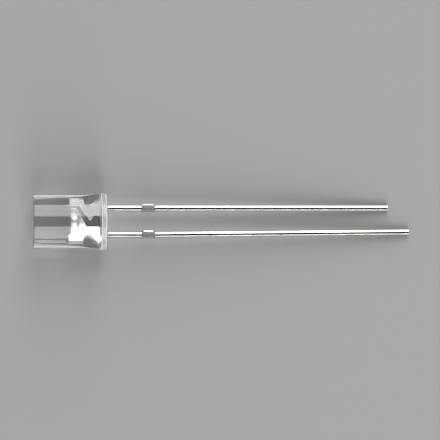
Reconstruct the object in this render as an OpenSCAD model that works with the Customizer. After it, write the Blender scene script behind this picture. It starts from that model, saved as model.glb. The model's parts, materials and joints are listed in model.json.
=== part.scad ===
// A round, flat-topped, water-clear LED for through-hole mounting. It lies on its
// side, rolled towards its short lead, whose tip touches the ground beside the rim of
// the body. The long lead is bent a little at its dam bar mark, so its tip touches too.
// Every piece is drawn upright first, with the seating face at z = 0, the body above
// it, the leads below it, and the short lead towards +Y. lie() then lays it down.

/* [Body] */
// Length of the clear body, from its seating face to its flat top
body_l = 7; // [6.4:0.1:9]
// Diameter of the straight barrel
barrel_d = 5.13; // [4.8:0.01:6]
// Radius round the edge of the flat top
top_edge_r = 0.12; // [0.04:0.01:0.4]
// Height of the foot, up to where its flare begins
foot_h = 0.9; // [0.7:0.05:2]
// Height of the flare between the foot and the barrel
flare_h = 1.7; // [0.2:0.05:2]
// How far the foot stands out from the barrel
foot_out = 0.1; // [0.06:0.01:0.4]
// Height of the rim band round the seating face
rim_h = 0.52; // [0.2:0.02:0.9]
// How far the rim band stands out from the foot
rim_out = 0.03; // [0.01:0.01:0.2]
// How far the flat that marks the short lead's side lies outside the barrel
key_out = 0.02; // [0:0.01:0.05]
// Height of the collar of resin that creeps along each lead
collar_h = 0.2; // [0.1:0.01:0.4]
// How far the foot of that collar stands out from the lead
collar_out = 0.18; // [0.08:0.01:0.3]

/* [Leads] */
// Distance between the centre lines of the leads
pitch = 2.54; // [2.4:0.01:2.8]
// Length of the long lead, from the seating face
long_l = 29; // [22:0.1:34]
// How much shorter the short lead is
short_by = 2; // [1:0.1:6]
// Width and thickness of a lead over its tin
lead_w = 0.58; // [0.56:0.01:0.7]
// Radius of a lead's crowned faces
crown_r = 0.5; // [0.4:0.01:1.5]
// How far a lead's rounded corners stand out past its faces, from its centre line
corner_out = 0.035; // [0.02:0.005:0.05]
// How far the tin runs in under the collar
tin_under = 0.06; // [0.05:0.01:0.08]
// Angle by which the part lies rolled towards its short lead
roll = 8; // [5:0.5:9]
// How far the long lead's tip is bent in towards the short lead
tip_in = 0.25; // [0:0.01:0.4]

/* [Dam bar marks] */
// Distance from the seating face to the marks where the dam bar was cut
mark_z = 3.4; // [2:0.1:6]
// Length of a mark along its lead
mark_l = 1.3; // [0.8:0.05:2]
// Thickness of a lead at its mark, where its faces are flat
mark_t = 0.53; // [0.52:0.01:0.56]
// How far the cut stub stands out on the short lead's side
stub_out = 0.09; // [0.04:0.01:0.2]
// How far the cut stub stands out on the other side
stub_back = 0.04; // [0.01:0.01:0.1]
// Length of the slope at each end of a stub
stub_ramp = 0.13; // [0.05:0.01:0.3]

/* [Lead frame] */
// Thickness of the sheet that both leads are stamped from
sheet_t = 0.5; // [0.4:0.01:0.51]
// Width of a lead inside the body, before its tin
stem_w = 0.5; // [0.4:0.01:0.54]
// Height at which the wide part of each lead begins
knee_h = 0.62; // [0.4:0.02:0.8]
// How far the anvil's knee stands out past the centre line of its lead
knee_out = 0.52; // [0.4:0.01:0.6]
// Place of the gap between post and anvil at their heads, from the body's axis
head_split = 0.91; // [0.85:0.01:1]
// Width of that gap
head_gap = 0.14; // [0.1:0.01:0.2]
// Place of the gap near the seating face, from the body's axis
low_split = -0.15; // [-0.2:0.01:0]
// Width of that gap
low_gap = 0.4; // [0.25:0.01:0.45]
// Height at which the gap's slope starts
slope_top = 2.67; // [2.5:0.01:2.8]
// Height at which the gap's slope ends
slope_foot = 1.69; // [1.6:0.01:1.9]
// Width of the gap's slope, along the axis
slope_gap = 0.26; // [0.2:0.01:0.3]

/* [Post] */
// Height of the post's top
post_h = 3.5; // [3.4:0.05:4.2]
// How far the post's head stands out past the centre line of its lead
head_out = 0.18; // [0.15:0.01:0.4]
// How far the post's knee stands out past the centre line of its lead
post_knee_out = 0.16; // [0.1:0.01:0.4]
// Height of the lower end of the post's notch, where its flat begins
notch_foot_h = 1.31; // [1.1:0.01:1.5]
// Height at which the flat of the notch ends
notch_flat_h = 1.9; // [1.7:0.01:1.95]
// Height of the upper end of the notch
notch_top_h = 2.09; // [2:0.01:2.4]
// How far the flat of the notch lies inside the centre line of its lead
notch_in = 0.16; // [0:0.01:0.2]
// Height of the underside of the post's toe
toe_h = 1.39; // [1.2:0.01:1.45]
// How far the toe stands out
toe_out = 0.3; // [0.2:0.01:0.4]
// Length of the slope under the toe
toe_ramp = 0.29; // [0.15:0.01:0.4]

/* [Anvil and cup] */
// Height of the cup's rim
cup_h = 3.38; // [3.3:0.01:3.45]
// Diameter of the cup's rim, outside
cup_d = 1.1; // [1:0.01:1.4]
// Width of the flat rim of the cup
cup_lip = 0.09; // [0.06:0.01:0.14]
// Depth of the cup
cup_depth = 0.42; // [0.38:0.01:0.5]
// Diameter of the cup's floor
floor_d = 0.52; // [0.5:0.01:0.62]
// Height at which the outer wall of the cup ends and its cone begins
wall_foot_h = 2.72; // [2.6:0.01:2.9]
// How much the outer wall narrows down to there, on the radius
wall_taper = 0.03; // [0:0.01:0.06]
// Height at which that cone ends in the sheet
cone_foot_h = 2.48; // [2.3:0.01:2.55]
// Height of the ear beside the cup
ear_h = 3.6; // [3.45:0.05:4]
// Distance from the body's axis to the ear's inner edge
ear_in = 0.92; // [0.8:0.01:1]
// How far the ear stands out past the centre line of its lead
ear_out = 0.22; // [0.05:0.01:0.3]
// Radius of the round notch in the anvil's outer edge
arch_r = 0.45; // [0.4:0.01:0.52]
// Height of that notch's centre
arch_h = 1.69; // [1.6:0.01:1.85]
// How far that notch's centre lies outside the centre line of its lead
arch_off = 0.15; // [0.05:0.01:0.2]

/* [Chip and wire] */
// Width of the chip
chip_w = 0.28; // [0.24:0.01:0.3]
// Height of the chip
chip_t = 0.2; // [0.12:0.01:0.25]
// Thickness of the silver paste under the chip
paste_under = 0.02; // [0.01:0.005:0.03]
// How far the paste climbs the chip's sides
paste_up = 0.04; // [0.02:0.01:0.06]
// How far the paste runs out past the chip's corners
paste_out = 0.03; // [0.02:0.005:0.04]
// Diameter of the bond wire
wire_d = 0.03; // [0.02:0.005:0.04]
// How far the wire's loop rises above the post and the cup
loop_up = 0.11; // [0.08:0.01:0.3]
// Radius of the bend at the top of the loop
loop_r = 0.13; // [0.1:0.01:0.16]
// Diameter of the ball that bonds the wire to the chip
ball_d = 0.09; // [0.07:0.01:0.12]
// Height of the ball
ball_h = 0.04; // [0.03:0.01:0.06]
// Length of the stitch that bonds the wire to the post
stitch_l = 0.12; // [0.08:0.01:0.2]
// Width of the stitch
stitch_w = 0.08; // [0.05:0.01:0.12]

/* [Hidden] */
$fn = 96;

barrel_r = barrel_d / 2;
foot_r = barrel_r + foot_out;
rim_r = foot_r + rim_out;
key_y = barrel_r + key_out;
lead_y = pitch / 2;
half_w = lead_w / 2;
corner_r = half_w + corner_out;
short_l = long_l - short_by;
tin_z = collar_h - tin_under;

// The part lies on the rim's lowest point and on both lead tips. Its tilt lowers the
// short tip by what the rim stands out past that lead, less what the roll gives. The
// long lead's tip is bent down by what the roll would leave it above the ground.
tilt = atan((rim_r - half_w - lead_y * sin(roll)) / short_l);
tip_down = ((pitch - tip_in) * sin(roll) - short_by * tan(tilt)) / cos(roll);

// The long lead is bent at the lower end of its dam bar mark
mark_end = mark_z + mark_l;
bend_in = asin(tip_in / (long_l - mark_end));
bend_down = asin(tip_down / ((long_l - mark_end) * cos(bend_in)));

// Half angle of the key flat, and the box that the lying part fills
key_angle = acos(key_y / rim_r);
reach_back = (body_l - top_edge_r) * cos(tilt) + (barrel_r - top_edge_r) * sin(tilt) + top_edge_r;
reach_front = long_l * cos(tilt)
    + ((lead_y - tip_in) * sin(roll) - tip_down * cos(roll) + half_w) * sin(tilt);
reach_side = max(rim_r * cos(max(key_angle - roll, 0)), barrel_r);
rest_height = rim_r * cos(tilt);

cup_r = cup_d / 2;
floor_r = floor_d / 2;
floor_h = cup_h - cup_depth;
chip_foot = floor_h + paste_under;
chip_top = chip_foot + chip_t;
paste_r = chip_w / sqrt(2) + paste_out;
wire_r = wire_d / 2;
// The stitch sits halfway along the top of the post's head
stitch_y = (head_split + head_gap / 2 + lead_y + head_out) / 2;
margin = 1;
// How far the stretches of a lead run into each other
lap = 0.01;

// Lays an upright piece on its side, centred over its box and resting at z = 0
module lie() {
    translate([(reach_back - reach_front) / 2, (rim_r - reach_side) / 2, rest_height])
        rotate([-roll, tilt, 0])
            rotate([0, -90, 0])
                children();
}

// Cuts a shape drawn in the plane of the sheet, y across and z up, from a sheet
module from_sheet(thickness) {
    rotate([90, 0, 90]) linear_extrude(thickness, center = true) children();
}

// The body's outer form: one revolved profile, the key flat and the resin collars
module body_profile() {
    difference() {
        polygon([
            [0, 0], [rim_r, 0], [rim_r, rim_h], [foot_r, rim_h], [foot_r, foot_h],
            [barrel_r, foot_h + flare_h], [barrel_r, body_l], [0, body_l]
        ]);
        translate([barrel_r - top_edge_r, body_l - top_edge_r]) difference() {
            square(top_edge_r + margin);
            circle(top_edge_r);
        }
    }
}

module lead_collar() {
    translate([0, 0, -collar_h]) cylinder(h = collar_h, r1 = corner_r, r2 = corner_r + collar_out);
}

module body_form() {
    difference() {
        rotate_extrude() body_profile();
        translate([-rim_r - margin, key_y, -margin])
            cube([2 * (rim_r + margin), rim_r, foot_h + flare_h + 2 * margin]);
    }
    for (side = [-1, 1]) translate([0, side * lead_y, 0]) lead_collar();
}

// The section of a tinned lead: four crowned faces with rounded corners
module tinned_section() {
    intersection() {
        translate([half_w - crown_r, 0]) circle(crown_r);
        translate([crown_r - half_w, 0]) circle(crown_r);
        translate([0, half_w - crown_r]) circle(crown_r);
        translate([0, crown_r - half_w]) circle(crown_r);
        circle(corner_r);
    }
}

// The flat-faced mark of the dam bar, drawn from the lead's own centre line
module dam_bar_mark() {
    from_sheet(mark_t) polygon([
        [-half_w, 0], [-half_w - stub_back, -stub_ramp],
        [-half_w - stub_back, stub_ramp - mark_l], [-half_w, -mark_l],
        [half_w, -mark_l], [half_w + stub_out, stub_ramp - mark_l],
        [half_w + stub_out, -stub_ramp], [half_w, 0]
    ]);
}

// A lead outside the body, and the bare stem that carries it up to its knee. The part
// below the dam bar mark is turned by the angles of its bend.
module lead_outside(side, length, bend) {
    translate([0, side * lead_y, 0]) {
        translate([0, 0, -mark_z - lap]) linear_extrude(mark_z - tin_z + lap) tinned_section();
        translate([0, 0, -mark_end]) rotate(bend) translate([0, 0, mark_end - length])
            linear_extrude(length - mark_end + lap) tinned_section();
        translate([0, 0, -mark_z]) dam_bar_mark();
        translate([-sheet_t / 2, -stem_w / 2, -tin_z - lap])
            cube([sheet_t, stem_w, tin_z + knee_h + 2 * lap]);
    }
}

// The edge that a head turns to the gap: side 1 is the post, side -1 is the anvil
function gap_edge(side, top) = [
    [low_split + side * low_gap / 2, slope_foot - side * slope_gap / 2],
    [head_split + side * head_gap / 2, slope_top - side * slope_gap / 2],
    [head_split + side * head_gap / 2, top]
];

module post_outline() {
    toe_y = low_split + low_gap / 2;
    polygon(concat(
        [
            [toe_y + toe_out, knee_h], [toe_y + toe_out, toe_h - toe_ramp], [toe_y, toe_h]
        ],
        gap_edge(1, post_h),
        [
            [lead_y + head_out, post_h], [lead_y + head_out, notch_top_h],
            [lead_y - notch_in, notch_flat_h], [lead_y - notch_in, notch_foot_h],
            [lead_y + post_knee_out, knee_h]
        ]
    ));
}

// Where a line from a point meets a circle about a centre and only touches it
function touch_point(point, centre, r) =
    let (d = norm(point - centre), along = atan2(point[1] - centre[1], point[0] - centre[0]))
    centre + r * [cos(along + acos(r / d)), sin(along + acos(r / d))];

module anvil_outline() {
    knee = [-lead_y - knee_out, knee_h];
    arch = [-lead_y - arch_off, arch_h];
    touch = touch_point(knee, arch, arch_r);
    difference() {
        polygon(concat(
            [[low_split - low_gap / 2, knee_h]],
            gap_edge(-1, cup_h),
            [
                [-ear_in, cup_h], [-ear_in, ear_h], [-lead_y - ear_out, ear_h],
                [-lead_y - ear_out, arch_h], knee
            ]
        ));
        translate(arch) circle(arch_r);
        polygon([knee, touch, arch, arch - [margin, 0], knee - [margin, 0]]);
    }
}

// The coined cup: a nearly straight wall round the body's axis over a cone that runs into
// the sheet, hollowed to a reflector
module cup_wall() {
    rotate_extrude() polygon([
        [0, cone_foot_h], [sheet_t / 2, cone_foot_h], [cup_r - wall_taper, wall_foot_h],
        [cup_r, cup_h], [0, cup_h]
    ]);
}

module cup_hollow() {
    slope = (cup_r - cup_lip - floor_r) / cup_depth;
    translate([0, 0, floor_h])
        cylinder(h = cup_depth + margin, r1 = floor_r, r2 = floor_r + slope * (cup_depth + margin));
}

module anode_form() {
    difference() {
        union() {
            from_sheet(sheet_t) anvil_outline();
            cup_wall();
        }
        cup_hollow();
    }
    lead_outside(-1, long_l, [bend_in, bend_down, 0]);
}

module cathode_form() {
    from_sheet(sheet_t) post_outline();
    lead_outside(1, short_l, [0, 0, 0]);
}

module chip_form() {
    translate([-chip_w / 2, -chip_w / 2, chip_foot]) cube([chip_w, chip_w, chip_t]);
}

module paste_form() {
    difference() {
        translate([0, 0, floor_h]) cylinder(h = paste_under + paste_up, r = paste_r);
        chip_form();
    }
}

// The middle line of the bond wire, as [y, z] points: up from the ball, round the bend,
// over the gap between the heads and down to the stitch
bend_steps = 6;
stitch_z = post_h + wire_r;
span_h = max(post_h, cup_h);
loop_h = span_h + loop_up;
wire_line = concat(
    [[0, chip_top + ball_h / 2]],
    [for (i = [0:bend_steps]) let (a = 90 * i / bend_steps)
        [loop_r * (1 - cos(a)), loop_h - loop_r * (1 - sin(a))]],
    [[head_split, span_h + 0.6 * loop_up], [stitch_y - stitch_l, stitch_z + wire_d],
        [stitch_y, stitch_z]]
);
wire_sides = 8;

// The direction of the wire at a point of its line, halfway between its neighbours
function heading(i) =
    let (a = wire_line[max(i - 1, 0)], b = wire_line[min(i + 1, len(wire_line) - 1)])
    (b - a) / norm(b - a);

function wire_ring(i) =
    let (p = wire_line[i], d = heading(i))
    [for (k = [0:wire_sides - 1]) let (a = 360 * (k + 0.5) / wire_sides)
        [wire_r * cos(a), p[0] - wire_r * sin(a) * d[1], p[1] + wire_r * sin(a) * d[0]]];

module wire_sweep() {
    rings = len(wire_line);
    last = (rings - 1) * wire_sides;
    polyhedron(
        points = [for (i = [0:rings - 1]) each wire_ring(i)],
        faces = concat(
            [[for (k = [wire_sides - 1:-1:0]) k]],
            [for (i = [0:rings - 2], k = [0:wire_sides - 1])
                let (a = i * wire_sides, n = (k + 1) % wire_sides)
                [a + k, a + n, a + wire_sides + n, a + wire_sides + k]],
            [[for (k = [0:wire_sides - 1]) last + k]]
        )
    );
}

module wire_form() {
    wire_sweep();
    translate([0, 0, chip_top]) cylinder(h = ball_h, d = ball_d);
    translate([-stitch_w / 2, stitch_y - stitch_l / 2, post_h]) cube([stitch_w, stitch_l, wire_r]);
}

// Small cores across the faces where pieces in the resin meet, inside both of them, so
// that their hollows in the resin stay one hollow
module contact_cores() {
    translate([0, 0, chip_foot - paste_under / 2]) cylinder(h = chip_t, d = ball_d / 2);
    translate([0, 0, floor_h - paste_under]) cylinder(h = 1.5 * paste_under, d = ball_d / 2);
    translate([0, 0, chip_top - ball_h / 2]) cylinder(h = ball_h, d = ball_d / 2);
    translate([-stitch_w / 4, stitch_y - stitch_l / 4, post_h - wire_r])
        cube([stitch_w / 2, stitch_l / 2, 1.5 * wire_r]);
}

module epoxy_body() {
    color([0.88, 0.93, 0.95, 0.35]) lie() difference() {
        body_form();
        contact_cores();
        anode_form();
        cathode_form();
        chip_form();
        paste_form();
        wire_form();
    }
}

module anode_lead() {
    color("silver") lie() anode_form();
}

module cathode_lead() {
    color("gainsboro") lie() cathode_form();
}

module led_chip() {
    color([0.36, 0.34, 0.38]) lie() chip_form();
}

module die_attach() {
    color([0.72, 0.71, 0.68]) lie() paste_form();
}

module bond_wire() {
    color([0.95, 0.76, 0.33]) lie() wire_form();
}

epoxy_body();
anode_lead();
cathode_lead();
led_chip();
die_attach();
bond_wire();
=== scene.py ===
"""A clear, flat-topped through-hole LED lying on a pale floor, seen from straight above.

Sizes are in millimetres and in the LED's own upright frame: z = 0 at the seating face, the
body above it, the leads below it, and the short lead towards +y. UPRIGHT lays them down.
"""
import json
import math

import bmesh
import bpy
from mathutils import Matrix, Vector


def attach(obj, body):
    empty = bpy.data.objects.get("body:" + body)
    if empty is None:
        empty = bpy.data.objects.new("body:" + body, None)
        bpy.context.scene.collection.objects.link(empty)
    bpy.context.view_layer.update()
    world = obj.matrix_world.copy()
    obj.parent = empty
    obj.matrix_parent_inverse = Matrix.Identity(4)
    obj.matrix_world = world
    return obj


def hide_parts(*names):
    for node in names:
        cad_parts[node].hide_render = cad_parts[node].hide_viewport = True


MM = 0.001

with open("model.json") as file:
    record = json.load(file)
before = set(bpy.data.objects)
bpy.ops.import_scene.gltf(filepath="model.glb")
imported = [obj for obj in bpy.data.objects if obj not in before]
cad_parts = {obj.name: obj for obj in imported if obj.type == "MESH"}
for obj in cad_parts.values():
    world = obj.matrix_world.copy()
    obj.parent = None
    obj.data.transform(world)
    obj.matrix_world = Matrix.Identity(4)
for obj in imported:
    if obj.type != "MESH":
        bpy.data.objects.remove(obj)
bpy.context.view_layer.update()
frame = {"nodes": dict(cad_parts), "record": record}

# Body
BODY_L = 7.0
BARREL_R = 2.565
TOP_EDGE_R = 0.12
FOOT_H = 0.9
FLARE_H = 1.7
FOOT_R = BARREL_R + 0.1
RIM_H = 0.52
RIM_R = FOOT_R + 0.03
RIM_EDGE_R = 0.05
KEY_Y = BARREL_R + 0.02

# The seating face and the rim are frosted, and the rim's side is only hazy between two heights
FROSTED_FROM, FROSTED_TO = -0.01, RIM_H + 0.02
HAZY_FROM, HAZY_TO = 0.1, 0.42

# Collars of resin round the leads
COLLAR_H = 0.2
COLLAR_OUT = 0.18
COLLAR_INSET = 0.98
COLLAR_TOP = 0.1

# Leads: the tin starts inside the collar, and the bare stem runs on a little way inside the tin
PITCH = 2.54
LEAD_Y = PITCH / 2
LONG_L = 29.0
SHORT_L = 27.0
HALF_W = 0.29
CROWN_R = 0.5
CORNER_R = HALF_W + 0.035
TIN_Z = COLLAR_H - 0.06
STEM_LAP = 0.1
TIP_IN = 0.25

# The sheared sides of a tinned lead start this far from its middle, towards -y and towards +y
SHEAR_IN = 0.15
SHEAR_FAR_IN = 0.17

# Dam bar marks
MARK_Z = 3.4
MARK_L = 1.3
MARK_T = 0.53
MARK_EDGE_R = 0.09
MARK_LAP = 0.02
STUB_OUT = 0.09
STUB_BACK = 0.04
STUB_RAMP = 0.13

# Lead frame
SHEET_T = 0.5
STEM_W = 0.5
# The lead frame's stem is darkened below this height, as painted shade inside the rim
STEM_SHADE_TOP = 0.48
SHEET_EDGE_R = 0.06
KNEE_H = 0.62
KNEE_OUT = 0.52
HEAD_SPLIT, HEAD_GAP = 0.91, 0.14
LOW_SPLIT, LOW_GAP = -0.15, 0.4
SLOPE_TOP, SLOPE_FOOT, SLOPE_GAP = 2.67, 1.69, 0.26

# Post
POST_H = 3.5
HEAD_OUT = 0.18
POST_KNEE_OUT = 0.16
NOTCH_HEIGHTS = (1.31, 1.9, 2.09)
NOTCH_IN = 0.16
TOE_H, TOE_OUT, TOE_RAMP = 1.39, 0.3, 0.29

# Anvil
EAR_H, EAR_IN, EAR_OUT = 3.6, 0.92, 0.22
ARCH_R, ARCH_H, ARCH_OFF = 0.45, 1.69, 0.15

# Cup: a short cone out of the sheet, then a nearly straight wall
CUP_H = 3.38
CUP_R = 0.55
CUP_LIP = 0.09
CUP_DEPTH = 0.42
CUP_FLOOR_H = CUP_H - CUP_DEPTH
FLOOR_R = 0.26
CONE_FOOT_H = 2.48
CONE_FOOT_R = SHEET_T / 2 - 0.02
WALL_FOOT_H = 2.72
WALL_TAPER = 0.03
MATT_BELOW = WALL_FOOT_H - 0.05

# Rounding of the wall at its foot, as steps in and up, and at the lip, as steps in and down
FOOT_STEPS = ((0.06, -0.04), (0.015, 0.005), (0, 0.06))
LIP_STEPS = ((0, 0.03), (0.01, 0.01), (0.03, 0))

# The tool that hollows the cup reaches from the floor to well above the lip
HOLLOW_TOOL_H = 1

# Chip and its bond pad
PASTE_T = 0.02
CHIP_T = 0.2
CHIP_TOP = CUP_FLOOR_H + PASTE_T + CHIP_T
PAD_R = 0.06

# Faces are told apart by their normals: a sheet's edges, the bare notch, and the part of a mark's
# rounded edge that faces up and towards +y, which gets bright tin as a painted highlight
EDGE_NORMAL = 0.97
BARE_NORMAL = 0.9
PAINTED_HIGHLIGHT_NORMAL_X = (0.2, 0.99)
PAINTED_HIGHLIGHT_NORMAL_Y = 0.1
SHARP_ANGLE = math.radians(35)

# How far the cup's faces stand off the sheet at least, and how near a point is on a cutting plane
OFF_SHEET = 0.002
CUT_DIST = 1e-6

# The lie of the LED: its axis is that of the barrel mount, and it rolls towards the short lead
MOUNTS = {m["name"]: m for m in frame["record"]["mounts"]}
ORIGIN = Vector(MOUNTS["seating_face"]["pos_m"])
AXIS = Vector(MOUNTS["barrel"]["axis"])
TILT = math.asin(AXIS.z)
ROLL = math.radians(8)

# The long lead is bent at the lower end of its mark, so that its tip touches the floor too
MARK_END = MARK_Z + MARK_L
TIP_RISE = (LONG_L - SHORT_L) * math.tan(TILT)
TIP_DOWN = ((PITCH - TIP_IN) * math.sin(ROLL) - TIP_RISE) / math.cos(ROLL)
BEND_IN = math.asin(TIP_IN / (LONG_L - MARK_END))
BEND_DOWN = math.asin(TIP_DOWN / ((LONG_L - MARK_END) * math.cos(BEND_IN)))

# The finishes of a lead, in the order of its materials
SILVER, SATIN, CUP, MATT, EDGE, TIN, DULL_TIN_AND_SHADE, CUT, BARE = range(9)

# The finishes of the body, in the order of its materials
CLEAR, FROSTED, HAZY = range(3)

# The picture, at the photo's width and scale
PHOTO_W = 440
PX_PER_MM = 10.5
SENSOR_W = 36
CAMERA_Z = 0.42
VIEW_Y = 0.00015
CLIP = (0.01, 10)

# The studio, in metres
FLOOR_HALF = 2
LAMP_DISTANCE = 0.8
HORIZON_Z, ZENITH_Z = 0.2, 0.9


def upright_matrix():
    """The matrix from the upright frame, in metres, to the row frame."""
    turn = Matrix.Rotation(TILT, 3, "Y") @ Matrix.Rotation(-ROLL, 3, "X")
    turn = turn @ Matrix.Rotation(-math.pi / 2, 3, "Y")
    return Matrix.Translation(ORIGIN) @ turn.to_4x4()


UPRIGHT = upright_matrix()


# Mesh helpers

def object_from(bm, name, finish=CLEAR):
    """A new object from a bmesh in millimetres, all in one finish, still upright."""
    bmesh.ops.recalc_face_normals(bm, faces=bm.faces)
    for face in bm.faces:
        face.material_index = finish
    bmesh.ops.scale(bm, vec=(MM, MM, MM), verts=bm.verts)
    mesh = bpy.data.meshes.new(name)
    bm.to_mesh(mesh)
    bm.free()
    obj = bpy.data.objects.new(name, mesh)
    bpy.context.scene.collection.objects.link(obj)
    return obj


def lay(obj):
    """Lays an upright piece down and shades it smooth, apart from its sharp edges."""
    obj.data.transform(UPRIGHT)
    bm = bmesh.new()
    bm.from_mesh(obj.data)
    for face in bm.faces:
        face.smooth = True
    for edge in bm.edges:
        edge.smooth = len(edge.link_faces) == 2 and edge.calc_face_angle() < SHARP_ANGLE
    bm.to_mesh(obj.data)
    bm.free()
    weighted = obj.modifiers.new("weighted_normals", "WEIGHTED_NORMAL")
    weighted.keep_sharp = True


def arc(cx, cy, r, start, end, steps):
    """Points along an arc, angles in degrees."""
    return [
        (cx + r * math.cos(math.radians(a)), cy + r * math.sin(math.radians(a)))
        for a in (start + (end - start) * i / steps for i in range(steps + 1))
    ]


def lathe(profile, segments):
    """A bmesh turned about z from (radius, height) points that start and end on the axis."""
    bm = bmesh.new()
    bottom = bm.verts.new((0, 0, profile[0][1]))
    top = bm.verts.new((0, 0, profile[-1][1]))
    rings = []
    for r, z in profile[1:-1]:
        angles = (2 * math.pi * k / segments for k in range(segments))
        rings.append([bm.verts.new((r * math.cos(a), r * math.sin(a), z)) for a in angles])
    for k in range(segments):
        n = (k + 1) % segments
        bm.faces.new((bottom, rings[0][n], rings[0][k]))
        bm.faces.new((top, rings[-1][k], rings[-1][n]))
        for low, high in zip(rings, rings[1:]):
            bm.faces.new((low[k], low[n], high[n], high[k]))
    return bm


def sheet_piece(outline, thickness, edge_r):
    """A bmesh of a stamped blank: (y, z) points, cut from a sheet, its edges rounded over."""
    bm = bmesh.new()
    face = bm.faces.new([bm.verts.new((-thickness / 2, y, z)) for y, z in outline])
    made = bmesh.ops.extrude_face_region(bm, geom=[face])
    moved = [v for v in made["geom"] if isinstance(v, bmesh.types.BMVert)]
    bmesh.ops.translate(bm, verts=moved, vec=(thickness, 0, 0))
    bm.normal_update()
    rim = [e for e in bm.edges if abs(e.verts[0].co.x - e.verts[1].co.x) < thickness / 2]
    bmesh.ops.bevel(bm, geom=rim, offset=edge_r, segments=3, profile=0.5, affect="EDGES")
    return bm


def cut_by_plane(bm, point, normal, clear_outer=False):
    """Cuts a bmesh by a plane, and returns what lies in the cut."""
    cut = bmesh.ops.bisect_plane(
        bm, geom=bm.verts[:] + bm.edges[:] + bm.faces[:], dist=CUT_DIST,
        plane_co=point, plane_no=normal, clear_outer=clear_outer)
    return cut["geom_cut"]


def plated(outline, name, finish):
    """A blank of the lead frame, silver plated, with bright edges; its stem, up to just under the
    rim's top, gets the darker dull tin as painted shade.
    """
    bm = sheet_piece(outline, SHEET_T, SHEET_EDGE_R)
    cut_by_plane(bm, (0, 0, STEM_SHADE_TOP), (0, 0, 1))
    plate = object_from(bm, name, finish)
    # Painted shade: stem faces below this height, where the rim keeps the lamps off them, get the
    # darker dull tin
    for face in plate.data.polygons:
        if face.center.z < STEM_SHADE_TOP * MM:
            face.material_index = DULL_TIN_AND_SHADE
        elif abs(face.normal.x) < EDGE_NORMAL:
            face.material_index = EDGE
    return plate


def combined(base, tool, operation):
    """Gives the base object its mesh after a boolean with the tool object, and removes the tool."""
    modifier = base.modifiers.new("cut", "BOOLEAN")
    modifier.operation = operation
    modifier.object = tool
    modifier.solver = "EXACT"
    bpy.context.view_layer.update()
    graph = bpy.context.evaluated_depsgraph_get()
    mesh = bpy.data.meshes.new_from_object(base.evaluated_get(graph))
    base.modifiers.clear()
    base.data = mesh
    bpy.data.objects.remove(tool)


def join(target, *others):
    """Adds the meshes of other upright objects to the target's mesh."""
    bm = bmesh.new()
    bm.from_mesh(target.data)
    for other in others:
        bm.from_mesh(other.data)
        bpy.data.objects.remove(other)
    bm.to_mesh(target.data)
    bm.free()


# The pieces

def body_profile():
    """Half the section of the body, as (radius, height) points from its base to its flat top."""
    rim_low = arc(RIM_R - RIM_EDGE_R, RIM_EDGE_R, RIM_EDGE_R, -90, 0, 5)
    bands = [(RIM_R, HAZY_FROM), (RIM_R, HAZY_TO)]
    rim_high = arc(RIM_R - RIM_EDGE_R, RIM_H - RIM_EDGE_R, RIM_EDGE_R, 0, 60, 4)
    flare = [
        (FOOT_R - (FOOT_R - BARREL_R) * (3 * t * t - 2 * t ** 3), FOOT_H + FLARE_H * t)
        for t in (i / 12 for i in range(13))
    ]
    top_arc = arc(BARREL_R - TOP_EDGE_R, BODY_L - TOP_EDGE_R, TOP_EDGE_R, 0, 90, 10)
    rim = rim_low + bands + rim_high + [(FOOT_R, RIM_H)]
    return [(0, 0)] + rim + flare + top_arc + [(0, BODY_L)]


def collar_profile():
    """Half the section of a collar, which creeps in a hollow curve from the lead to the body."""
    creep = arc(CORNER_R + COLLAR_OUT, -COLLAR_H, COLLAR_OUT, 172, 98, 8)
    low = -COLLAR_H * COLLAR_INSET
    inner = [(0, low), (CORNER_R * COLLAR_INSET, low)]
    return inner + creep + [(CORNER_R + COLLAR_OUT, COLLAR_TOP), (0, COLLAR_TOP)]


def make_body():
    """The moulded body: a turned form, the key flat, and a collar of resin round each lead."""
    bm = lathe(body_profile(), segments=256)
    cut = cut_by_plane(bm, (0, KEY_Y, 0), (0, 1, 0), clear_outer=True)
    open_edges = [e for e in cut if isinstance(e, bmesh.types.BMEdge)]
    bmesh.ops.contextual_create(bm, geom=open_edges)
    body = object_from(bm, "clear_body")
    for side in (-1, 1):
        collar = lathe(collar_profile(), segments=48)
        bmesh.ops.translate(collar, verts=collar.verts, vec=(0, side * LEAD_Y, 0))
        combined(body, object_from(collar, "collar"), "UNION")
    for face in body.data.polygons:
        height = face.center.z / MM
        if FROSTED_FROM < height < FROSTED_TO:
            face.material_index = HAZY if HAZY_FROM < height < HAZY_TO else FROSTED
    lay(body)
    return body


def tinned_section():
    """The closed section of a tinned lead, as (x, y) points: four crowned faces, four corners."""
    shift = HALF_W - CROWN_R
    meet_x = (CORNER_R ** 2 + shift ** 2 - CROWN_R ** 2) / (2 * shift)
    meet_y = math.sqrt(CORNER_R ** 2 - meet_x ** 2)
    half_turn = math.degrees(math.atan2(meet_y, meet_x - shift))
    edge_turn = math.degrees(math.atan2(meet_y, meet_x))
    quarter = arc(shift, 0, CROWN_R, -half_turn, half_turn, 8)
    quarter += arc(0, 0, CORNER_R, edge_turn, 90 - edge_turn, 4)[1:-1]
    points = []
    for c, s in ((1, 0), (0, 1), (-1, 0), (0, -1)):
        points += [(c * x - s * y, s * x + c * y) for x, y in quarter]
    return points


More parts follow.
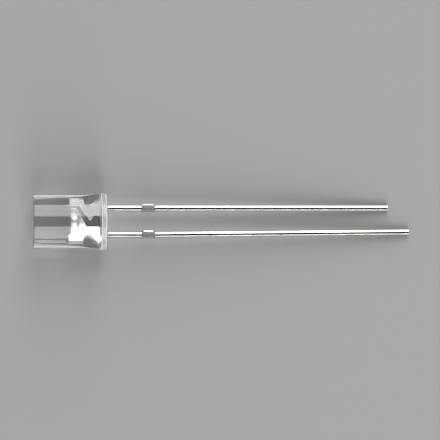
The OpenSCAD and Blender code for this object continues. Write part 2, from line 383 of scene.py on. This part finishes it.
def tinned_length(name, side, start, end, rings, bend=(0, 0)):
    """A tinned stretch of lead between two distances below the seating face.

    The bend, in and down, turns it about the lower end of the mark.
    """
    bm = bmesh.new()
    section = tinned_section()
    loops = []
    for i in range(rings + 1):
        z = -(start + (end - start) * i / rings)
        loops.append([bm.verts.new((x, y + side * LEAD_Y, z)) for x, y in section])
    n = len(section)
    middles = [(section[k][1] + section[(k + 1) % n][1]) / 2 for k in range(n)]
    sheared = [y < -SHEAR_IN or y > SHEAR_FAR_IN for y in middles]
    for low, high in zip(loops, loops[1:]):
        for k in range(n):
            bm.faces.new((low[k], low[(k + 1) % n], high[(k + 1) % n], high[k]))
    bm.faces.new(loops[0])
    bm.faces.new(loops[-1])
    pivot = Vector((0, side * LEAD_Y, -MARK_END))
    turn = Matrix.Rotation(bend[1], 3, "Y") @ Matrix.Rotation(bend[0], 3, "X")
    bmesh.ops.rotate(bm, verts=bm.verts, cent=pivot, matrix=turn)
    length = object_from(bm, name, TIN)
    for face in length.data.polygons[:rings * n]:
        if sheared[face.index % n]:
            face.material_index = DULL_TIN_AND_SHADE
    return length


def mark_piece(name, side):
    """The dented mark where the dam bar was cut away; the part of its rounded edge that faces up
    and towards +y gets bright tin as a painted highlight.
    """
    back, front = -HALF_W - STUB_BACK, HALF_W + STUB_OUT
    stub_top, stub_end = -MARK_Z - STUB_RAMP, STUB_RAMP - MARK_Z - MARK_L
    outline = [
        (-HALF_W, -MARK_Z), (back, stub_top), (back, stub_end), (-HALF_W, -MARK_Z - MARK_L),
        (HALF_W, -MARK_Z - MARK_L), (front, stub_end), (front, stub_top), (HALF_W, -MARK_Z),
    ]
    bm = sheet_piece([(y + side * LEAD_Y, z) for y, z in outline], MARK_T, MARK_EDGE_R)
    mark = object_from(bm, name, CUT)
    # Painted highlight: edge faces that point up and towards +y get the bright tin, and the rest of
    # the mark stays dull
    low, high = PAINTED_HIGHLIGHT_NORMAL_X
    for face in mark.data.polygons:
        if low < face.normal.x < high and face.normal.y > PAINTED_HIGHLIGHT_NORMAL_Y:
            face.material_index = TIN
    return mark


def outside(name, side, length, bend=(0, 0)):
    """What a lead shows below the body: tin, the mark, and tin again, which may be bent."""
    return (
        tinned_length(name + "_upper", side, TIN_Z, MARK_Z, rings=12),
        mark_piece(name + "_mark", side),
        tinned_length(name + "_lower", side, MARK_END - MARK_LAP, length, rings=80, bend=bend),
    )


def stem(side):
    """The end of the bare stem inside the tin, as (y, z) points in the order of the outline."""
    left, right = side * LEAD_Y - STEM_W / 2, side * LEAD_Y + STEM_W / 2
    low = -TIN_Z - STEM_LAP
    return [(right, KNEE_H), (right, low), (left, low), (left, KNEE_H)]


def gap_edge(side, top):
    """The edge that a head turns to the gap: side 1 is the post, side -1 is the anvil."""
    return [
        (LOW_SPLIT + side * LOW_GAP / 2, SLOPE_FOOT - side * SLOPE_GAP / 2),
        (HEAD_SPLIT + side * HEAD_GAP / 2, SLOPE_TOP - side * SLOPE_GAP / 2),
        (HEAD_SPLIT + side * HEAD_GAP / 2, top),
    ]


def post_outline():
    """The outline of the post and its stem: toe, slanted head and notched outer edge."""
    toe_y = LOW_SPLIT + LOW_GAP / 2
    outer = LEAD_Y + HEAD_OUT
    flat = LEAD_Y - NOTCH_IN
    return (
        [(toe_y + TOE_OUT, KNEE_H), (toe_y + TOE_OUT, TOE_H - TOE_RAMP), (toe_y, TOE_H)]
        + gap_edge(1, POST_H)
        + [(outer, POST_H), (outer, NOTCH_HEIGHTS[2]), (flat, NOTCH_HEIGHTS[1]),
           (flat, NOTCH_HEIGHTS[0]), (LEAD_Y + POST_KNEE_OUT, KNEE_H)]
        + stem(1)
    )


def anvil_outline():
    """The outline of the anvil and its stem: slanted head, ear, round arch and knee."""
    knee = Vector((-LEAD_Y - KNEE_OUT, KNEE_H))
    arch = Vector((-LEAD_Y - ARCH_OFF, ARCH_H))
    outer = -LEAD_Y - EAR_OUT
    along = math.degrees(math.atan2(knee.y - arch.y, knee.x - arch.x))
    touch = along + math.degrees(math.acos(ARCH_R / (knee - arch).length))
    meet = math.degrees(math.acos((outer - arch.x) / ARCH_R))
    return (
        [(LOW_SPLIT - LOW_GAP / 2, KNEE_H)]
        + gap_edge(-1, CUP_H)
        + [(-EAR_IN, CUP_H), (-EAR_IN, EAR_H), (outer, EAR_H)]
        + arc(arch.x, arch.y, ARCH_R, meet, touch, 16)
        + [tuple(knee)]
        + stem(-1)[::-1]
    )


def cup_profile():
    """Half the section of the cup's outside, filled, as (radius, height) points."""
    return (
        [(0, CONE_FOOT_H), (CONE_FOOT_R, CONE_FOOT_H)]
        + [(CUP_R - WALL_TAPER - inward, WALL_FOOT_H + up) for inward, up in FOOT_STEPS]
        + [(CUP_R - inward, CUP_H - down) for inward, down in LIP_STEPS]
        + [(0, CUP_H)]
    )


def hollow_profile():
    """Half the section of the tool that hollows the cup, as (radius, height) points."""
    slope = (CUP_R - CUP_LIP - FLOOR_R) / CUP_DEPTH
    top = CUP_FLOOR_H + HOLLOW_TOOL_H
    return [(0, CUP_FLOOR_H), (FLOOR_R, CUP_FLOOR_H),
            (FLOOR_R + slope * HOLLOW_TOOL_H, top), (0, top)]


def make_anode():
    """The long lead with its anvil, whose head is coined into the reflector cup."""
    plate = plated(anvil_outline(), "anode_metal", SILVER)
    combined(plate, object_from(lathe(cup_profile(), segments=96), "cup_wall"), "UNION")
    combined(plate, object_from(lathe(hollow_profile(), segments=72), "hollow"), "DIFFERENCE")
    for face in plate.data.polygons:
        place = face.center / MM
        on_wall = abs(place.x) > SHEET_T / 2 + OFF_SHEET
        in_cup = math.hypot(place.x, place.y) < CUP_R - CUP_LIP / 2
        if place.z > CONE_FOOT_H and (on_wall or in_cup):
            face.material_index = CUP if place.z > MATT_BELOW else MATT
    join(plate, *outside("anode", -1, LONG_L, bend=(BEND_IN, BEND_DOWN)))
    lay(plate)
    return plate


def make_cathode():
    """The short lead with its post, whose notch shows the bare alloy of its sheared edge."""
    plate = plated(post_outline(), "cathode_metal", SATIN)
    notch_y = LEAD_Y - NOTCH_IN - SHEET_EDGE_R / 2
    for face in plate.data.polygons:
        place = face.center / MM
        on_edge = abs(face.normal.x) < BARE_NORMAL and abs(place.x) < SHEET_T / 2
        if on_edge and place.y > notch_y and NOTCH_HEIGHTS[0] < place.z < NOTCH_HEIGHTS[2]:
            face.material_index = BARE
    join(plate, *outside("cathode", 1, SHORT_L))
    lay(plate)
    return plate


# Materials

class Finish:
    """A principled material with helpers that wire procedural detail into it."""

    def __init__(self, name, **values):
        self.material = bpy.data.materials.new(name)
        self.material.use_nodes = True
        self.tree = self.material.node_tree
        self.bsdf = self.tree.nodes["Principled BSDF"]
        for key, value in values.items():
            self.bsdf.inputs[key.replace("_", " ")].default_value = value

    def node(self, kind, **values):
        """A new shader node with its settings."""
        node = self.tree.nodes.new("ShaderNode" + kind)
        for key, value in values.items():
            setattr(node, key, value)
        return node

    def link(self, source, target):
        self.tree.links.new(source, target)

    def upright(self, scale=(1, 1, 1)):
        """Coordinates in millimetres in the upright frame, times a scale on each axis."""
        coords = self.node("TexCoord")
        place = self.node("Mapping", vector_type="TEXTURE")
        place.inputs["Location"].default_value = UPRIGHT.translation
        place.inputs["Rotation"].default_value = UPRIGHT.to_euler()
        place.inputs["Scale"].default_value = (MM, MM, MM)
        self.link(coords.outputs["Object"], place.inputs["Vector"])
        stretch = self.node("Mapping")
        stretch.inputs["Scale"].default_value = scale
        self.link(place.outputs[0], stretch.inputs["Vector"])
        return stretch.outputs[0]

    def axes(self, vector):
        """The x, y and z of a vector."""
        split = self.node("SeparateXYZ")
        self.link(vector, split.inputs[0])
        return split.outputs["X"], split.outputs["Y"], split.outputs["Z"]

    def noise(self, vector, scale, detail=3, roughness=0.5):
        """Soft noise from 0 to 1."""
        noise = self.node("TexNoise")
        noise.inputs["Scale"].default_value = scale
        noise.inputs["Detail"].default_value = detail
        noise.inputs["Roughness"].default_value = roughness
        self.link(vector, noise.inputs["Vector"])
        return noise.outputs["Fac"]

    def span(self, value, low, high, to_low, to_high):
        """A value mapped from one range to another, held at its ends."""
        span = self.node("MapRange")
        self.link(value, span.inputs["Value"])
        keys = ("From Min", "From Max", "To Min", "To Max")
        for key, number in zip(keys, (low, high, to_low, to_high)):
            span.inputs[key].default_value = number
        return span.outputs["Result"]

    def ramp(self, value, low, high):
        """A colour ramp over a value between two stops, each (place, (red, green, blue))."""
        ramp = self.node("ValToRGB")
        for element, (place, colour) in zip(ramp.color_ramp.elements, (low, high)):
            element.position = place
            element.color = (*colour, 1)
        self.link(value, ramp.inputs["Fac"])
        return ramp.outputs["Color"]

    def math(self, operation, first, second=0):
        """An operation on one or two values, each a number or the output of a node."""
        node = self.node("Math", operation=operation)
        for socket, value in zip(node.inputs, (first, second)):
            if isinstance(value, (int, float)):
                socket.default_value = value
            else:
                self.link(value, socket)
        return node.outputs[0]

    def mixed(self, share, first, second):
        """One colour turning into another as a share goes from 0 to 1."""
        node = self.node("MixRGB")
        self.link(share, node.inputs["Fac"])
        for socket, value in zip(node.inputs[1:], (first, second)):
            if isinstance(value, tuple):
                socket.default_value = (*value, 1)
            else:
                self.link(value, socket)
        return node.outputs[0]

    def colour(self, value):
        self.link(value, self.bsdf.inputs["Base Color"])

    def roughness(self, value):
        self.link(value, self.bsdf.inputs["Roughness"])

    def bump(self, height, distance):
        """Bump from a height of 0 to 1 that stands for a distance in millimetres."""
        bump = self.node("Bump")
        bump.inputs["Strength"].default_value = 1
        bump.inputs["Distance"].default_value = distance * MM
        self.link(height, bump.inputs["Height"])
        self.link(bump.outputs[0], self.bsdf.inputs["Normal"])


def clear_epoxy():
    """Water-clear resin, polished, with faint mould lines round it."""
    f = Finish(
        "clear_epoxy", Base_Color=(0.93, 0.94, 0.935, 1), IOR=1.52, Transmission_Weight=1)
    f.roughness(f.span(f.noise(f.upright(), 3), 0.4, 0.7, 0.01, 0.03))
    lines = f.noise(f.upright((0.05, 0.05, 9)), 1, 2)
    f.bump(lines, 0.0015)
    return f.material


def frosted_epoxy(clearness, roughness):
    """The same resin where it is finely matt, on the rim and the seating face."""
    f = Finish(
        "frosted_epoxy", Base_Color=(0.95, 0.95, 0.94, 1), IOR=1.52,
        Transmission_Weight=clearness)
    grain = f.noise(f.upright(), 14, 3)
    f.roughness(f.span(grain, 0.35, 0.65, 0.8 * roughness, 1.2 * roughness))
    f.bump(grain, 0.004)
    return f.material


def silver_plate():
    """Bright silver plate: fine glossy and matt grain, in slightly warmer and cooler patches."""
    f = Finish("silver_plate", Metallic=1)
    cloud = f.noise(f.upright(), 2.2, 4)
    grain = f.noise(f.upright((70, 70, 30)), 1, 2)
    f.colour(f.ramp(cloud, (0.3, (0.95, 0.945, 0.93)), (0.7, (0.91, 0.915, 0.91))))
    f.roughness(f.span(grain, 0.42, 0.5, 0.17, 0.58))
    f.bump(grain, 0.0004)
    return f.material


def satin_silver(name, metallic, roughness):
    """Silver plate of the cup and the post, evenly matt."""
    f = Finish(name, Metallic=metallic)
    cloud = f.noise(f.upright(), 2.2, 4)
    grain = f.noise(f.upright((60, 60, 8)), 1, 2)
    f.colour(f.ramp(cloud, (0.3, (0.95, 0.945, 0.935)), (0.7, (0.91, 0.915, 0.915))))
    broad = f.span(cloud, 0.3, 0.7, roughness, roughness + 0.04)
    fine = f.span(grain, 0.3, 0.7, 0, 0.05)
    f.roughness(f.math("ADD", broad, fine))
    f.bump(grain, 0.0004)
    return f.material


def matt_silver():
    """Silver plate on the cone under the cup: matt and pale."""
    f = Finish("matt_silver", Metallic=0.1)
    grain = f.noise(f.upright((40, 40, 12)), 1, 3)
    f.colour(f.ramp(grain, (0.3, (0.95, 0.95, 0.94)), (0.7, (0.88, 0.885, 0.88))))
    f.roughness(f.span(grain, 0.3, 0.7, 0.45, 0.6))
    f.bump(grain, 0.0008)
    return f.material


def bright_edge():
    """Silver plate on the rounded, sheared edges, rubbed bright."""
    f = Finish("bright_edge", Metallic=1)
    shear = f.noise(f.upright((9, 9, 3)), 2, 3)
    f.colour(f.ramp(shear, (0.3, (0.95, 0.945, 0.935)), (0.7, (0.9, 0.9, 0.895))))
    f.roughness(f.span(shear, 0.3, 0.7, 0.22, 0.32))
    f.bump(shear, 0.001)
    return f.material


def tin_coat():
    """Bright dipped tin, smooth, with soft runs along the lead."""
    f = Finish("tin_coat", Metallic=1)
    cloud = f.noise(f.upright((1.5, 1.5, 0.8)), 1.6, 4)
    f.colour(f.ramp(cloud, (0.3, (0.72, 0.71, 0.68)), (0.7, (0.62, 0.61, 0.585))))
    f.roughness(f.span(cloud, 0.3, 0.7, 0.06, 0.12))
    f.bump(f.noise(f.upright((5, 5, 0.5)), 1, 3), 0.001)
    return f.material


def dull_tin_and_shade():
    """The tin over the sheared edge of the lead, duller and a little rippled; the same darker tin
    is laid on the stem inside the rim as painted shade.
    """
    f = Finish("dull_tin_and_shade", Metallic=1)
    cloud = f.noise(f.upright((3, 3, 1)), 2, 4)
    f.colour(f.ramp(cloud, (0.3, (0.42, 0.41, 0.385)), (0.7, (0.34, 0.33, 0.31))))
    f.roughness(f.span(cloud, 0.3, 0.7, 0.35, 0.5))
    f.bump(f.noise(f.upright((9, 9, 2)), 1, 3), 0.004)
    return f.material


def cut_face():
    """The mark of the dam bar: dull, dented metal."""
    f = Finish("cut_face", Metallic=1)
    dents = f.noise(f.upright(), 7, 3, 0.6)
    f.colour(f.ramp(dents, (0.35, (0.2, 0.2, 0.205)), (0.65, (0.34, 0.34, 0.34))))
    f.roughness(f.span(dents, 0.3, 0.7, 0.42, 0.6))
    f.bump(dents, 0.02)
    return f.material


def bare_edge():
    """The sheared edge of the post's notch, where the copper alloy shows."""
    f = Finish("bare_edge", Metallic=1)
    shear = f.noise(f.upright((9, 9, 3)), 2, 3)
    f.colour(f.ramp(shear, (0.3, (0.8, 0.5, 0.36)), (0.7, (0.62, 0.33, 0.2))))
    f.roughness(f.span(shear, 0.3, 0.7, 0.3, 0.45))
    f.bump(shear, 0.005)
    return f.material


def chip_crystal():
    """The chip: dark glossy crystal, paler where it is sawn, with a round gold pad on top."""
    f = Finish("chip_crystal")
    place = f.upright()
    across, deep, height = f.axes(place)
    squares = [f.math("MULTIPLY", value, value) for value in (across, deep)]
    out = f.math("SQRT", f.math("ADD", *squares))
    on_top = f.span(height, CHIP_TOP - 0.01, CHIP_TOP - 0.005, 0, 1)
    pad = f.math("MULTIPLY", on_top, f.span(out, PAD_R, PAD_R + 0.004, 1, 0))
    crystal = f.ramp(f.noise(place, 16, 3), (0.35, (0.1, 0.09, 0.11)), (0.65, (0.19, 0.17, 0.2)))
    sawn = f.ramp(f.noise(place, 50, 2), (0.35, (0.25, 0.24, 0.26)), (0.65, (0.33, 0.32, 0.34)))
    f.colour(f.mixed(pad, f.mixed(on_top, sawn, crystal), (0.95, 0.75, 0.35)))
    f.link(pad, f.bsdf.inputs["Metallic"])
    f.roughness(f.span(on_top, 0, 1, 0.5, 0.18))
    return f.material


def silver_paste():
    """Silver-filled glue: grey, grainy and matt."""
    f = Finish("silver_paste", Metallic=0.85)
    flakes = f.noise(f.upright(), 45, 3, 0.7)
    f.colour(f.ramp(flakes, (0.35, (0.52, 0.51, 0.49)), (0.65, (0.76, 0.75, 0.72))))
    f.roughness(f.span(flakes, 0.3, 0.7, 0.4, 0.6))
    f.bump(flakes, 0.004)
    return f.material


def gold():
    """Drawn gold wire, with a slightly uneven sheen."""
    f = Finish("gold", Metallic=1)
    draw = f.noise(f.upright(), 30, 2)
    f.colour(f.ramp(draw, (0.35, (0.98, 0.76, 0.38)), (0.65, (0.9, 0.64, 0.26))))
    f.roughness(f.span(draw, 0.3, 0.7, 0.15, 0.28))
    return f.material


def dress(obj, *materials):
    """Puts materials on an object in the order of its faces' finishes."""
    finishes = [face.material_index for face in obj.data.polygons]
    obj.data.materials.clear()
    for material in materials:
        obj.data.materials.append(material)
    if len(materials) > 1:
        obj.data.polygons.foreach_set("material_index", finishes)


# The studio

def make_camera():
    """A camera straight above, with the photo's scale at the middle of the seating face."""
    data = bpy.data.cameras.new("camera")
    data.sensor_width = SENSOR_W
    width = PHOTO_W / PX_PER_MM * MM
    data.lens = data.sensor_width * (CAMERA_Z - ORIGIN.z) / width
    data.clip_start, data.clip_end = CLIP
    camera = bpy.data.objects.new("camera", data)
    camera.location = (0, VIEW_Y, CAMERA_Z)
    bpy.context.scene.collection.objects.link(camera)
    bpy.context.scene.camera = camera


def make_floor():
    """A pale polished floor, whose gloss fades where it is seen at a very low angle."""
    bm = bmesh.new()
    bmesh.ops.create_grid(bm, x_segments=1, y_segments=1, size=FLOOR_HALF)
    mesh = bpy.data.meshes.new("floor")
    bm.to_mesh(mesh)
    bm.free()
    floor = bpy.data.objects.new("floor", mesh)
    bpy.context.scene.collection.objects.link(floor)
    f = Finish("floor_paper", Base_Color=(0.44, 0.44, 0.437, 1), Roughness=0.12)
    facing = f.node("LayerWeight").outputs["Facing"]
    f.link(f.span(facing, 0.62, 0.76, 0.5, 0), f.bsdf.inputs["Specular IOR Level"])
    dress(floor, f.material)


def softbox(name, side, near, far, spread, middle, radiance):
    """A lamp panel on one side, facing the object.

    It spans two zenith angles and, along x, a spread to each side of its middle, in degrees.
    """
    centre = math.radians((near + far) / 2)
    lean = math.radians(middle)
    data = bpy.data.lights.new(name, "AREA")
    data.shape = "RECTANGLE"
    data.size = 2 * LAMP_DISTANCE * math.tan(math.radians(spread))
    data.size_y = 2 * LAMP_DISTANCE * math.tan(math.radians((far - near) / 2))
    data.energy = radiance * math.pi * data.size * data.size_y
    lamp = bpy.data.objects.new(name, data)
    toward = Vector((math.sin(lean) * math.cos(centre), side * math.sin(centre),
                     math.cos(centre) * math.cos(lean))).normalized()
    lamp.location = toward * LAMP_DISTANCE
    lamp.rotation_mode = "QUATERNION"
    up = toward.cross(Vector((1, 0, 0))).normalized()
    across = up.cross(toward).normalized()
    lamp.rotation_quaternion = Matrix((across, up, toward)).transposed().to_quaternion()
    lamp.visible_camera = False
    bpy.context.scene.collection.objects.link(lamp)


def make_world(horizon, zenith):
    """A world that is pale near the horizon and dark overhead, where the lamps leave a gap."""
    world = bpy.data.worlds.new("studio")
    world.use_nodes = True
    tree = world.node_tree
    background = tree.nodes["Background"]
    background.inputs["Color"].default_value = (1, 1, 1, 1)
    coords = tree.nodes.new("ShaderNodeTexCoord")
    split = tree.nodes.new("ShaderNodeSeparateXYZ")
    span = tree.nodes.new("ShaderNodeMapRange")
    span.inputs["From Min"].default_value = HORIZON_Z
    span.inputs["From Max"].default_value = ZENITH_Z
    span.inputs["To Min"].default_value = horizon
    span.inputs["To Max"].default_value = zenith
    tree.links.new(coords.outputs["Generated"], split.inputs[0])
    tree.links.new(split.outputs["Z"], span.inputs["Value"])
    tree.links.new(span.outputs["Result"], background.inputs["Strength"])
    bpy.context.scene.world = world


body = make_body()
anode = make_anode()
cathode = make_cathode()
dress(body, clear_epoxy(), frosted_epoxy(0.2, 0.5), frosted_epoxy(0.6, 0.16))
lead_finishes = (
    silver_plate(), satin_silver("satin_silver", 0.8, 0.38),
    satin_silver("cup_silver", 0.65, 0.36), matt_silver(), bright_edge(),
    tin_coat(), dull_tin_and_shade(), cut_face(), bare_edge())
for lead in (anode, cathode):
    dress(lead, *lead_finishes)
dress(frame["nodes"]["led_chip"], chip_crystal())
dress(frame["nodes"]["die_attach"], silver_paste())
dress(frame["nodes"]["bond_wire"], gold())
for piece, node, slot in ((body, "epoxy_body", "clear_epoxy"),
                          (anode, "anode_lead", "plated_lead"),
                          (cathode, "cathode_lead", "plated_lead")):
    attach(piece, "root")
    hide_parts(node)

make_camera()
make_floor()
make_world(horizon=0.6, zenith=0.0015)
for name, side, near, far in (("lamp_far", 1, 21.0, 75), ("lamp_near", -1, 21.6, 78)):
    softbox(name, side, near, far, spread=11, middle=9.8, radiance=5.2)

bpy.context.scene.view_settings.view_transform = "Standard"
